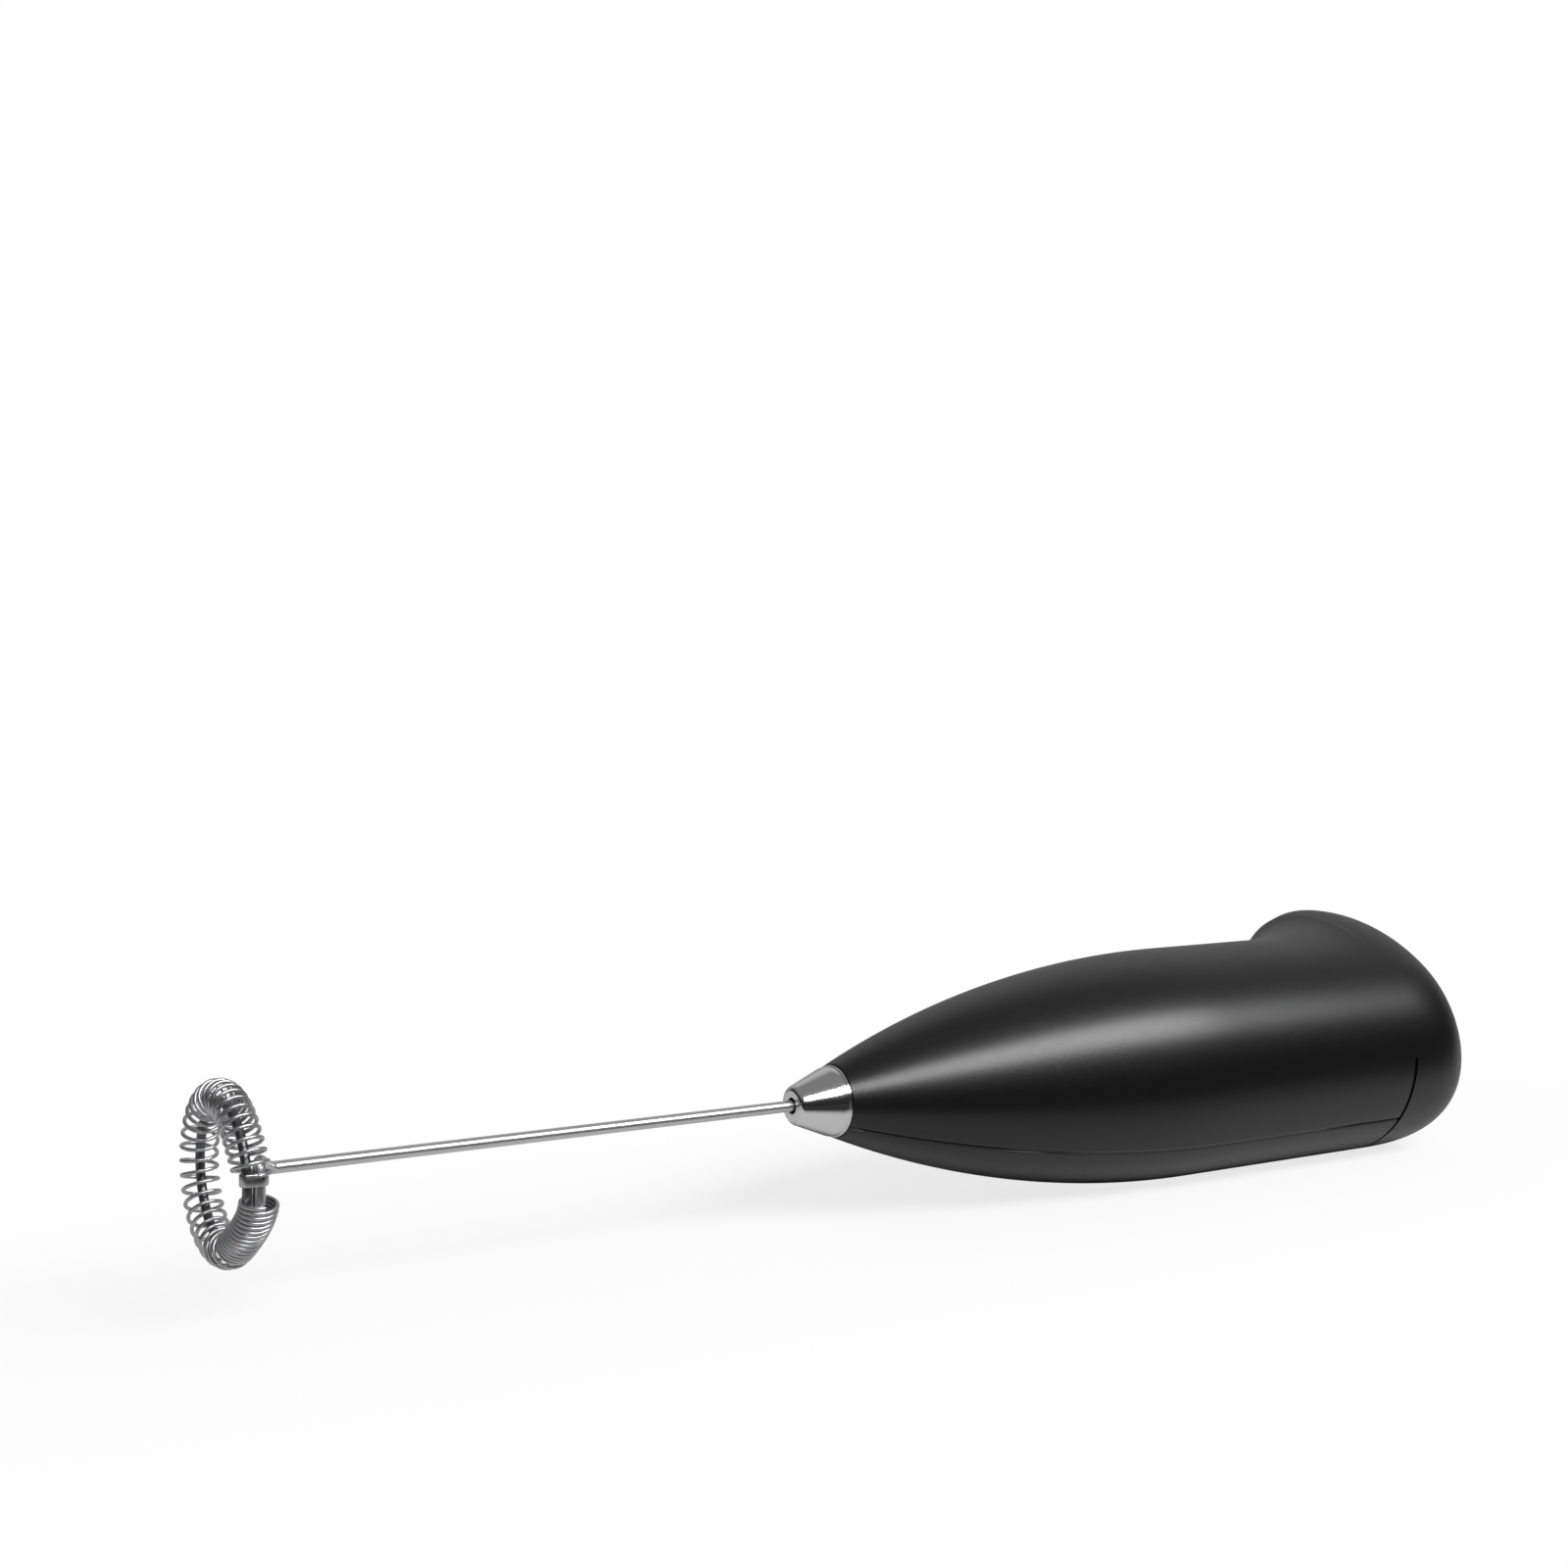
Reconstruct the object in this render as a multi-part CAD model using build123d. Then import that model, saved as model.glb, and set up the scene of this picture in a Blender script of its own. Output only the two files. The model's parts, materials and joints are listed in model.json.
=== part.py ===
from build123d import *
import os
from math import cos, pi, radians, sin, sqrt, tan
import numpy as np

# Battery milk frother, lying on a table. Millimetres. The handle is drawn about the shaft axis, with x
# counted rearwards from the front edge of the casing, z towards the lip and y across. It is then rolled to
# the way it lies and lifted, so that the origin is the table under the middle of the straight underside.

# Handle form
BODY_RADIUS = 18.1
NOSE_RADIUS = 5.4
NOSE_LENGTH = 63.0
WALL = 1.6
ROLL = -54.0
PARTING_GROOVE = 0.3

# Lip at the rear rim of the casing, and the domed end cap behind it
LIP_REACH = 8.2
LIP_LENGTH = 18.0
LIP_TURN = 75.0
CAP_DEPTH = 16.8
CAP_LIP_FULLNESS = 2.5
CAP_SPINE_FULLNESS = 4.2
CAP_SIDE_FULLNESS = 2.8
CAP_FLAT_RATIO = 0.985
SKIRT_LENGTH = 5.0
SKIRT_WALL = 1.4
CAP_SHOULDER_DEPTH = 9.5
PRY_GAP = 0.6
PRY_HALF_ANGLE = 35.0
PRY_DEPTH = 1.1

# Chrome nose cone on the neck of the casing
CONE_BASE_RADIUS = 5.2
CONE_TIP_RADIUS = 2.65
CONE_LENGTH = 7.2
CONE_EDGE = 1.0
CONE_BEAD = 0.5
CONE_SHOULDER = 1.2
CONE_BORE_RADIUS = 1.15
NECK_RADIUS = 3.2
NECK_LENGTH = 3.0
NECK_BORE_RADIUS = 1.9
FRONT_WALL = 2.4

# Whisk: bent shaft, round loop, crimp and wound coil
WHISK_REACH = 90.1
SHAFT_DIAMETER = 1.6
SHAFT_BEND_START = 6.0
SHAFT_BEND_RADIUS = 1.1
LOOP_DIAMETER = 1.2
LOOP_DROP = 0.4
COIL_RING_RADIUS = 9.3
COIL_DIAMETER = 4.96
COIL_WIRE = 0.5
COIL_TURNS = 30
COIL_FIRST_ANGLE = 25.0
COIL_LAST_ANGLE = 349.0
COIL_END_ANGLE = 45.0
COIL_END_SHIFT = 1.2
CRIMP_LENGTH = 1.6
CRIMP_RISE = 0.9
CRIMP_WALL = 0.35

# Motor and coupling
MOTOR_FRONT = 23.4
MOTOR_RADIUS = 10.05
MOTOR_HALF_HEIGHT = 7.55
MOTOR_CAN_LENGTH = 20.5
MOTOR_SHEET = 0.5
MOTOR_BOSS_RADIUS = 3.05
MOTOR_BOSS_LENGTH = 1.6
MOTOR_BELL_LENGTH = 4.5
MOTOR_SHAFT_RADIUS = 1.0
MAGNET_THICKNESS = 2.4
MAGNET_LENGTH = 14.0
MAGNET_HALF_ANGLE = 42.0
CORE_RADIUS = 6.4
CORE_LENGTH = 10.0
CORE_POLES = 3
POLE_WIDTH = 2.8
POLE_TIP = 1.3
WINDING_WIDTH = 1.5
COMMUTATOR_RADIUS = 2.4
COMMUTATOR_LENGTH = 3.6
BRUSH_THICKNESS = 0.3
COUPLING_RADIUS = 3.0
COUPLING_FRONT = 4.5
COUPLING_GAP = 1.0
COUPLING_RIBS = 6
MOUNT_THICKNESS = 2.5

# Battery compartment
CELL_RADIUS = 7.1
CELL_LENGTH = 50.2
CELL_NUB_RADIUS = 2.6
CELL_NUB_LENGTH = 1.2
CELL_SPACING = 14.6
CELL_DROP = 2.0
CELL_OVERHANG = 3.4
TRAY_TURN = 25.0
BULKHEAD_GAP = 2.5
BULKHEAD_THICKNESS = 2.5
CRADLE_RIBS = 4
RIB_THICKNESS = 1.8
KEEL_THICKNESS = 1.6
CRADLE_TOP = 3.0
CONTACT_SHEET = 0.4
CONTACT_SIDE = 10.6
CONTACT_RISE = 0.8
TERMINAL_WIDTH = 2.4

# Button in the end of the cap
BUTTON_DROP = 1.4
BUTTON_RADIUS = 4.6
BUTTON_PROUD = 1.2
BUTTON_FLANGE = 1.2
BUTTON_FLANGE_THICKNESS = 1.0
BUTTON_TRAVEL = 1.5
BUTTON_STEM_RADIUS = 1.6
BRIDGE_RADIUS = 4.6
CARRIER_THICKNESS = 1.4
CARRIER_POST_RADIUS = 1.6
BUTTON_SPRING_RADIUS = 3.2
BUTTON_SPRING_WIRE = 0.35
BUTTON_SPRING_TURNS = 3

# Clearances
FIT = 0.1
RUNNING = 0.03
LOOSE = 0.25

# Places that follow from the sizes: the motor and the cells set how long the casing is
CAN_END = MOTOR_FRONT + MOTOR_CAN_LENGTH
BELL_END = CAN_END + MOTOR_BELL_LENGTH
BELL_FLOOR = BELL_END - 3 * MOTOR_SHEET
BELL_BORE = MOTOR_HALF_HEIGHT - 2 * MOTOR_SHEET
COUPLING_REAR = MOTOR_FRONT - MOUNT_THICKNESS - COUPLING_GAP
COUPLING_MIDDLE = (COUPLING_FRONT + COUPLING_REAR) / 2
BULKHEAD = BELL_END + BULKHEAD_GAP
CONTACTS = BULKHEAD + BULKHEAD_THICKNESS
CELL_FRONT = CONTACTS + CONTACT_SHEET + CONTACT_RISE
CELL_REAR = CELL_FRONT + CELL_LENGTH
CAP_CONTACTS = CELL_REAR + CONTACT_RISE
BODY_LENGTH = CELL_REAR - CELL_OVERHANG
ARC_RADIUS = (NOSE_LENGTH**2 + (BODY_RADIUS - NOSE_RADIUS) ** 2) / (2 * (BODY_RADIUS - NOSE_RADIUS))
BORE_RADIUS = BODY_RADIUS - WALL
LIP_TIP = BODY_RADIUS + LIP_REACH
CAP_END = BODY_LENGTH + CAP_DEPTH * CAP_FLAT_RATIO
SKIRT_RADIUS = BORE_RADIUS - FIT
CAP_BORE = SKIRT_RADIUS - SKIRT_WALL
SHOULDER = BODY_LENGTH + CAP_SHOULDER_DEPTH
CARRIER = SHOULDER - CARRIER_THICKNESS
CHAMBER_RADIUS = BUTTON_RADIUS + BUTTON_FLANGE + LOOSE
CHAMBER_END = CAP_END - WALL
RING_X = -WHISK_REACH
LOOP_RADIUS = COIL_RING_RADIUS - LOOP_DROP
LEG_X = RING_X + (LOOP_DIAMETER + SHAFT_DIAMETER) / 2 + 3 * RUNNING
CRIMP_TOP = CRIMP_RISE + CRIMP_LENGTH / 2
CRIMP_FOOT = CRIMP_RISE - CRIMP_LENGTH / 2
REST_X = (NOSE_LENGTH + BODY_LENGTH) / 2


def disc(x, radius, up=0.0, side=0.0):
    """A round face square to the shaft axis at station x."""
    return Plane((x, side, up), x_dir=(0, 1, 0), z_dir=(1, 0, 0)) * Circle(radius)


def rod(x0, x1, radius, up=0.0, side=0.0):
    """A round bar along the shaft axis."""
    return extrude(disc(x0, radius, up, side), x1 - x0)


def tube(x0, x1, outer, inner, up=0.0, side=0.0):
    """A round sleeve along the shaft axis."""
    return extrude(disc(x0, outer, up, side) - disc(x0, inner, up, side), x1 - x0)


def block(x0, x1, y0, y1, z0, z1):
    """A plain bar between two corners."""
    middle = Pos((x0 + x1) / 2, (y0 + y1) / 2, (z0 + z1) / 2)
    return middle * Box(x1 - x0, y1 - y0, z1 - z0)


def form_radius(x, inset=0.0):
    """Radius of the casing at x: one arc that runs out tangent to the straight rear part."""
    run = max(NOSE_LENGTH - x, 0.0)
    return BODY_RADIUS - ARC_RADIUS + sqrt((ARC_RADIUS - inset) ** 2 - run**2)


def body_form(x0, x1, inset=0.0):
    """The round casing form between two stations, drawn in by an inset."""
    turn = min(x1, NOSE_LENGTH)
    start, end = (x0, form_radius(x0, inset)), (x1, form_radius(x1, inset))
    edges = [Line((x0, 0), start), Line(end, (x1, 0)), Line((x1, 0), (x0, 0))]
    if x0 < turn:
        middle = (x0 + turn) / 2
        bend = (turn, form_radius(turn, inset))
        edges.append(ThreePointArc(start, (middle, form_radius(middle, inset)), bend))
        start = bend
    if start[0] < x1:
        edges.append(Line(start, end))
    return revolve(make_face(edges), Axis.X)


def rim_oval(x, lip, spine, side):
    """A section of two half ovals that meet at the sides: one reaches the lip and the other the spine."""
    plane = Plane((x, 0, 0), x_dir=(0, 0, 1), z_dir=(1, 0, 0))
    lip_half = EllipticalCenterArc((0, 0), lip, side, -90, arc_size=180)
    spine_half = EllipticalCenterArc((0, 0), spine, side, 90, arc_size=180)
    return plane * make_face([lip_half, spine_half])


def lip_form(stations=7):
    """The flare: the lip side follows an elliptic arc while the spine and the sides stay straight."""
    full = radians(LIP_TURN)
    ovals = []
    for i in range(stations):
        turn = full * i / (stations - 1)
        x = BODY_LENGTH - LIP_LENGTH * (1 - sin(turn) / sin(full))
        lip = BODY_RADIUS + LIP_REACH * (1 - cos(turn)) / (1 - cos(full))
        ovals.append(rim_oval(x, lip, BODY_RADIUS, BODY_RADIUS))
    return loft(ovals)


def dome_reach(rim, share, fullness):
    """Reach of the domed end at a share of its depth: a superellipse that starts from the rim."""
    return rim * (1 - share**fullness) ** (1 / fullness)


def cap_form():
    """The domed end: fuller towards the spine than towards the lip and the sides."""
    ovals = []
    for share in (0.0, 0.2, 0.4, 0.56, 0.7, 0.8, 0.88, 0.94, CAP_FLAT_RATIO):
        lip = dome_reach(LIP_TIP, share, CAP_LIP_FULLNESS)
        spine = dome_reach(BODY_RADIUS, share, CAP_SPINE_FULLNESS)
        side = dome_reach(BODY_RADIUS, share, CAP_SIDE_FULLNESS)
        ovals.append(rim_oval(BODY_LENGTH + CAP_DEPTH * share, lip, spine, side))
    return loft(ovals)


def spine_sector(x0, x1, inner):
    """The part of the wall within the pry angle either side of the spine."""
    reach = 2 * BODY_RADIUS
    spread = reach * tan(radians(PRY_HALF_ANGLE))
    corners = Polyline((0, 0), (spread, -reach), (-spread, -reach), close=True)
    wedge = extrude(Plane((x0, 0, 0), x_dir=(0, 1, 0), z_dir=(1, 0, 0)) * make_face(corners), x1 - x0)
    return wedge - rod(x0, x1, inner)


def casing():
    """Both casing halves in one piece: hollow form, neck for the cone and grooved parting line."""
    front = BODY_LENGTH - LIP_LENGTH
    outside = body_form(0, front) + lip_form()
    rear, half = BODY_LENGTH + WALL, PARTING_GROOVE / 2
    groove = block(WALL / 2, rear, -half, half, -2 * BODY_RADIUS, 0)
    groove -= body_form(0, rear + WALL, PARTING_GROOVE)
    pry = spine_sector(BODY_LENGTH - PRY_GAP, BODY_LENGTH, BODY_RADIUS - PRY_DEPTH)
    shell = outside + rod(-NECK_LENGTH, 0, NECK_RADIUS)
    shell -= body_form(FRONT_WALL, BODY_LENGTH, WALL)
    return shell - rod(-NECK_LENGTH, FRONT_WALL, NECK_BORE_RADIUS) - groove - pry


def casing_half(side):
    """The half of the casing on one side of the parting plane."""
    far = 2 * BODY_RADIUS
    span = (0, far) if side > 0 else (-far, 0)
    return casing() & block(-2 * NECK_LENGTH, BODY_LENGTH, *span, -far, far)


def nose_cone():
    """Plated cone with a rounded front edge and shoulder, a bead at its base and a socket for the neck."""
    shoulder = CONE_BASE_RADIUS - CONE_BEAD / 3
    corners = [
        (0, 0), (0, CONE_BASE_RADIUS), (-CONE_BEAD, CONE_BASE_RADIUS), (-CONE_BEAD, shoulder),
        (-CONE_SHOULDER, shoulder), (-CONE_LENGTH, CONE_TIP_RADIUS), (-CONE_LENGTH, 0),
    ]
    face = make_face(Polyline(*corners, close=True))
    for corner, radius in ((corners[4], 2 * CONE_SHOULDER), (corners[5], CONE_EDGE)):
        face = fillet(face.vertices().sort_by_distance(corner)[0], radius)
    cone = revolve(face, Axis.X)
    cone -= rod(-NECK_LENGTH - FIT, 0, NECK_RADIUS + RUNNING)
    return cone - rod(-CONE_LENGTH, 0, CONE_BORE_RADIUS)


def whisk_shaft():
    """Straight wire on the axis, bent out behind the ring to a short leg along the ring."""
    start = Vector(COUPLING_MIDDLE - RUNNING, 0, 0)
    bend = Vector(RING_X + SHAFT_BEND_START, 0, 0)
    rim = Vector(LEG_X, -LOOP_RADIUS, CRIMP_TOP + 1.3 * SHAFT_BEND_RADIUS)
    end = Vector(LEG_X, -LOOP_RADIUS, CRIMP_FOOT - 1.5 * SHAFT_DIAMETER)
    path = FilletPolyline(start, bend, rim, end, radius=SHAFT_BEND_RADIUS)
    return sweep(Plane(start, z_dir=(-1, 0, 0)) * Circle(SHAFT_DIAMETER / 2), path=path)


def ring_wire(diameter):
    """A round wire bent into a ring about the shaft axis."""
    return Pos(RING_X, 0, 0) * Rot(0, 90, 0) * Torus(LOOP_RADIUS, diameter / 2)


def whisk_crimp():
    """Flattened barrel that clamps the shaft's leg to the loop."""
    outer = Plane((RING_X, -LOOP_RADIUS, CRIMP_FOOT)) * Circle(LOOP_DIAMETER / 2 + CRIMP_WALL)
    outer += Plane((LEG_X, -LOOP_RADIUS, CRIMP_FOOT)) * Circle(SHAFT_DIAMETER / 2 + CRIMP_WALL)
    barrel = extrude(make_hull(outer.edges()), CRIMP_LENGTH)
    leg = Plane((LEG_X, -LOOP_RADIUS, CRIMP_FOOT)) * Circle(SHAFT_DIAMETER / 2 + RUNNING)
    return barrel - extrude(leg, CRIMP_LENGTH) - ring_wire(LOOP_DIAMETER + 2 * RUNNING)


def biarc(p0, t0, p1, t1):
    """Two arcs, tangent to each other, between two points with given directions."""
    chord, total = p1 - p0, t0 + t1
    spread = 2 * (1 - t0.dot(t1))
    along = chord.dot(total)
    reach = (sqrt(along**2 + spread * chord.dot(chord)) - along) / spread
    joint = (p0 + p1 + (t0 - t1) * reach) * 0.5
    heading = (joint - p0 - t0 * reach).normalized()
    return [Edge.make_tangent_arc(p0, t0, joint), Edge.make_tangent_arc(joint, heading, p1)]


def wound_wire(place, turns, diameter):
    """One wire along place(turn), in two arcs to each half turn."""
    step = 1e-4
    marks = np.linspace(0, turns, 2 * turns + 1)
    points = [Vector(*place(m)) for m in marks]
    headings = [Vector(*(place(m + step) - place(m - step))).normalized() for m in marks]
    edges = []
    for i in range(2 * turns):
        edges += biarc(points[i], headings[i], points[i + 1], headings[i + 1])
    return sweep(Plane(points[0], z_dir=headings[0]) * Circle(diameter / 2), path=Wire(edges))


def least_gap(place, turns, diameter, per_turn=36):
    """Least free space between one turn and the next, measured on points of the centre line."""
    line = np.array([place(m) for m in np.linspace(0, turns, turns * per_turn + 1)])
    gaps = [
        np.linalg.norm(line[i + per_turn // 2 : i + 2 * per_turn] - point, axis=1).min()
        for i, point in enumerate(line[: -per_turn // 2])
    ]
    return min(gaps) - diameter


def coil_place(turn):
    """Centre line of the whisk coil: a helix carried round the ring, angles counted up from the near side,
    with its end sprung towards the handle, over the leg of the shaft."""
    degrees = COIL_FIRST_ANGLE + (COIL_LAST_ANGLE - COIL_FIRST_ANGLE) * turn / COIL_TURNS
    sprung = min(max(1 - (COIL_LAST_ANGLE - degrees) / COIL_END_ANGLE, 0), 1)
    curl = 2 * pi * turn
    helix = (COIL_DIAMETER - COIL_WIRE) / 2
    x = RING_X + helix * sin(curl) + COIL_END_SHIFT * sprung**2 * (3 - 2 * sprung)
    reach = COIL_RING_RADIUS + helix * cos(curl)
    return np.array([x, -reach * cos(radians(degrees)), reach * sin(radians(degrees))])


def button_spring_place(turn):
    """Centre line of the button spring: a plain helix between the carrier and the button flange."""
    seat = SHOULDER + FIT + BUTTON_SPRING_WIRE / 2
    top = CHAMBER_END - FIT - BUTTON_FLANGE_THICKNESS - FIT - BUTTON_SPRING_WIRE / 2
    curl = 2 * pi * turn
    side, up = BUTTON_SPRING_RADIUS * sin(curl), BUTTON_SPRING_RADIUS * cos(curl)
    return np.array([seat + (top - seat) * turn / BUTTON_SPRING_TURNS, side, up - BUTTON_DROP])


def motor_section(x0, x1, inset=0.0):
    """A bar with the motor's section: round at the sides and flat above and below."""
    flat, wide = MOTOR_HALF_HEIGHT - inset, MOTOR_RADIUS
    return rod(x0, x1, MOTOR_RADIUS - inset) & block(x0, x1, -wide, wide, -flat, flat)


def motor_can():
    """Deep-drawn can with a bearing boss in front, open at the rear."""
    can = motor_section(MOTOR_FRONT, CAN_END)
    can -= motor_section(MOTOR_FRONT + MOTOR_SHEET, CAN_END, MOTOR_SHEET)
    boss_front = MOTOR_FRONT - MOTOR_BOSS_LENGTH
    can += rod(boss_front, MOTOR_FRONT, MOTOR_BOSS_RADIUS)
    return can - rod(boss_front, MOTOR_FRONT + MOTOR_SHEET, MOTOR_BOSS_RADIUS - MOTOR_SHEET)


def bearing(x0, x1):
    """Sintered bush in a motor boss."""
    return tube(x0, x1, MOTOR_BOSS_RADIUS - MOTOR_SHEET - RUNNING, MOTOR_SHAFT_RADIUS + RUNNING)


def motor_magnets():
    """Two arc magnets against the round sides of the can."""
    outer = MOTOR_RADIUS - MOTOR_SHEET - RUNNING
    middle = (MOTOR_FRONT + CAN_END) / 2
    ring = tube(middle - MAGNET_LENGTH / 2, middle + MAGNET_LENGTH / 2, outer, outer - MAGNET_THICKNESS)
    half_height = outer * sin(radians(MAGNET_HALF_ANGLE))
    return ring & block(0, BELL_END, -outer, outer, -half_height, half_height)


def core_span():
    """Front and rear of the armature core, centred in the can."""
    middle = (MOTOR_FRONT + CAN_END) / 2
    return middle - CORE_LENGTH / 2, middle + CORE_LENGTH / 2


def armature_core():
    """Laminated core: a hub, straight poles and curved pole shoes."""
    x0, x1 = core_span()
    hub = rod(x0, x1, MOTOR_SHAFT_RADIUS + POLE_WIDTH / 2)
    spoke = block(x0, x1, -POLE_WIDTH / 2, POLE_WIDTH / 2, 0, CORE_RADIUS - POLE_TIP / 2)
    shoe_ring = tube(x0, x1, CORE_RADIUS, CORE_RADIUS - POLE_TIP)
    shoe_half = CORE_RADIUS * sin(0.75 * pi / CORE_POLES)
    shoe = shoe_ring & block(x0, x1, -shoe_half, shoe_half, 0, CORE_RADIUS)
    for i in range(CORE_POLES):
        hub += Rot(360 * i / CORE_POLES, 0, 0) * (spoke + shoe)
    return hub - rod(x0, x1, MOTOR_SHAFT_RADIUS + RUNNING)


def armature_windings():
    """A flat coil of enamelled wire round each pole."""
    x0, x1 = core_span()
    gap = 2 * RUNNING
    half = POLE_WIDTH / 2 + gap
    low, high = MOTOR_SHAFT_RADIUS + POLE_WIDTH + gap, CORE_RADIUS - POLE_TIP - gap
    wide = half + WINDING_WIDTH * (low / high)
    coil = block(x0 - gap - WINDING_WIDTH, x1 + gap + WINDING_WIDTH, -wide, wide, low, high)
    coil -= block(x0 - gap, x1 + gap, -half, half, low, high)
    coil &= rod(x0 - CORE_RADIUS, x1 + CORE_RADIUS, high)
    turned = [Rot(360 * i / CORE_POLES, 0, 0) * coil for i in range(CORE_POLES)]
    return Compound(turned)


def commutator_span():
    """Front and rear of the commutator, centred on the brushes."""
    return CAN_END - COMMUTATOR_LENGTH / 2, CAN_END + COMMUTATOR_LENGTH / 2


def motor_end_bell():
    """Plastic end of the motor: holds the rear bearing, the brushes and the terminals."""
    bell = motor_section(CAN_END, BELL_END)
    bell -= rod(CAN_END, BELL_FLOOR, BELL_BORE)
    bell += rod(BELL_END, BELL_END + MOTOR_BOSS_LENGTH, MOTOR_BOSS_RADIUS)
    bell -= rod(CAN_END, BELL_END + MOTOR_BOSS_LENGTH / 2, MOTOR_BOSS_RADIUS - MOTOR_SHEET)
    for side in (-1, 1):
        bell -= terminal(side, LOOSE / 2)
    return bell


def terminal(side, room=0.0):
    """One terminal blade, from the brush inside the bell to the battery contact."""
    middle = side * CELL_SPACING / 2
    half, thick = TERMINAL_WIDTH / 2 + room, CONTACT_SHEET / 2 + room
    return block(BELL_FLOOR, CONTACTS + room, middle - half, middle + half, -thick, thick)


def motor_brushes():
    """Two leaf brushes, each bearing on the commutator and fixed beside its terminal."""
    near, far = COMMUTATOR_RADIUS + RUNNING, COMMUTATOR_RADIUS + RUNNING + BRUSH_THICKNESS
    reach = sqrt(BELL_BORE**2 - far**2) - RUNNING
    leaf = block(CAN_END + RUNNING, BELL_FLOOR - RUNNING, -COMMUTATOR_RADIUS / 2, reach, near, far)
    return Compound([leaf, Rot(180, 0, 0) * leaf])


def shaft_coupling():
    """Ribbed sleeve that joins the motor shaft to the whisk shaft."""
    sleeve = rod(COUPLING_FRONT, COUPLING_REAR, COUPLING_RADIUS - SHAFT_DIAMETER / 4)
    rib = block(COUPLING_FRONT, COUPLING_REAR, -SHAFT_DIAMETER / 4, SHAFT_DIAMETER / 4, 0, COUPLING_RADIUS)
    for i in range(COUPLING_RIBS):
        sleeve += Rot(360 * i / COUPLING_RIBS, 0, 0) * rib
    sleeve -= rod(COUPLING_FRONT, COUPLING_MIDDLE, SHAFT_DIAMETER / 2 + RUNNING)
    return sleeve - rod(COUPLING_MIDDLE, COUPLING_REAR, MOTOR_SHAFT_RADIUS + RUNNING)


def motor_mount():
    """Plate that seats in the casing and holds the motor by its front boss."""
    plate = body_form(MOTOR_FRONT - MOUNT_THICKNESS, MOTOR_FRONT, WALL + FIT)
    return plate - rod(MOTOR_FRONT - MOUNT_THICKNESS, MOTOR_FRONT, MOTOR_BOSS_RADIUS + RUNNING)


def battery_cradle():
    """Bulkhead behind the motor, with a collar for the end bell, and ribs on a keel that the cells lie in."""
    end = BODY_LENGTH - SKIRT_LENGTH - FIT
    cradle = body_form(BULKHEAD, CONTACTS, WALL + FIT)
    collar = motor_section(BELL_END - MOTOR_BELL_LENGTH / 2, BULKHEAD, -WALL)
    collar -= motor_section(BELL_END - MOTOR_BELL_LENGTH / 2, BULKHEAD, -FIT)
    bed = body_form(CONTACTS, end, WALL + FIT)
    bed &= block(0, end, -BODY_RADIUS, BODY_RADIUS, -BODY_RADIUS, -CRADLE_TOP)
    ribs = block(CONTACTS, end, -KEEL_THICKNESS / 2, KEEL_THICKNESS / 2, -BODY_RADIUS, 0)
    pitch = (end - CONTACTS - RIB_THICKNESS) / CRADLE_RIBS
    for i in range(CRADLE_RIBS):
        x = CONTACTS + pitch * (i + 1)
        ribs += block(x, x + RIB_THICKNESS, -BODY_RADIUS, BODY_RADIUS, -BODY_RADIUS, 0)
    cradle += collar + (bed & ribs)
    for side in (-1, 1):
        cradle -= rod(CONTACTS, end, CELL_RADIUS + FIT, -CELL_DROP, side * CELL_SPACING / 2)
        cradle -= terminal(side, LOOSE / 2)
    return cradle - rod(BULKHEAD, CONTACTS, MOTOR_SHAFT_RADIUS + LOOSE)


def cell(side):
    """One AA cell: a can with rolled edges and a nub, which points forwards on one side only."""
    can_length = CELL_LENGTH - CELL_NUB_LENGTH
    profile = Polyline(
        (0, 0), (0, CELL_RADIUS), (can_length, CELL_RADIUS), (can_length, CELL_NUB_RADIUS),
        (CELL_LENGTH, CELL_NUB_RADIUS), (CELL_LENGTH, 0), close=True,
    )
    face = make_face(profile)
    rolled = [v for v in face.vertices() if abs(v.Y - CELL_RADIUS) < RUNNING]
    shape = revolve(fillet(rolled, CELL_NUB_LENGTH / 2), Axis.X)
    if side < 0:
        return Pos(CELL_FRONT, side * CELL_SPACING / 2, -CELL_DROP) * shape
    return Pos(CELL_REAR, side * CELL_SPACING / 2, -CELL_DROP) * Rot(0, 180, 0) * shape


def contact(side, x, rearward):
    """A square contact plate with a pressed boss that bears on the end of a cell."""
    y, half = side * CELL_SPACING / 2, CONTACT_SIDE / 2
    x0, x1 = sorted((x, x + rearward * CONTACT_SHEET))
    plate = block(x0, x1, y - half, y + half, -CELL_DROP - half, -CELL_DROP + half)
    rim, top = (x1, x1 + CONTACT_RISE) if rearward > 0 else (x0, x0 - CONTACT_RISE)
    boss = loft([disc(rim, CELL_NUB_RADIUS, -CELL_DROP, y), disc(top, CELL_NUB_RADIUS / 2, -CELL_DROP, y)])
    return plate + boss


def end_cap():
    """Domed cap with a skirt that plugs into the casing, a cell bore and a chamber for the button."""
    skirt = rod(BODY_LENGTH - SKIRT_LENGTH, BODY_LENGTH, SKIRT_RADIUS)
    cap = cap_form() + skirt
    cap -= rod(BODY_LENGTH - SKIRT_LENGTH, SHOULDER, CAP_BORE)
    cap -= rod(SHOULDER, CHAMBER_END, CHAMBER_RADIUS, -BUTTON_DROP)
    return cap - rod(CHAMBER_END, CAP_END, BUTTON_RADIUS + LOOSE, -BUTTON_DROP)


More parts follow.
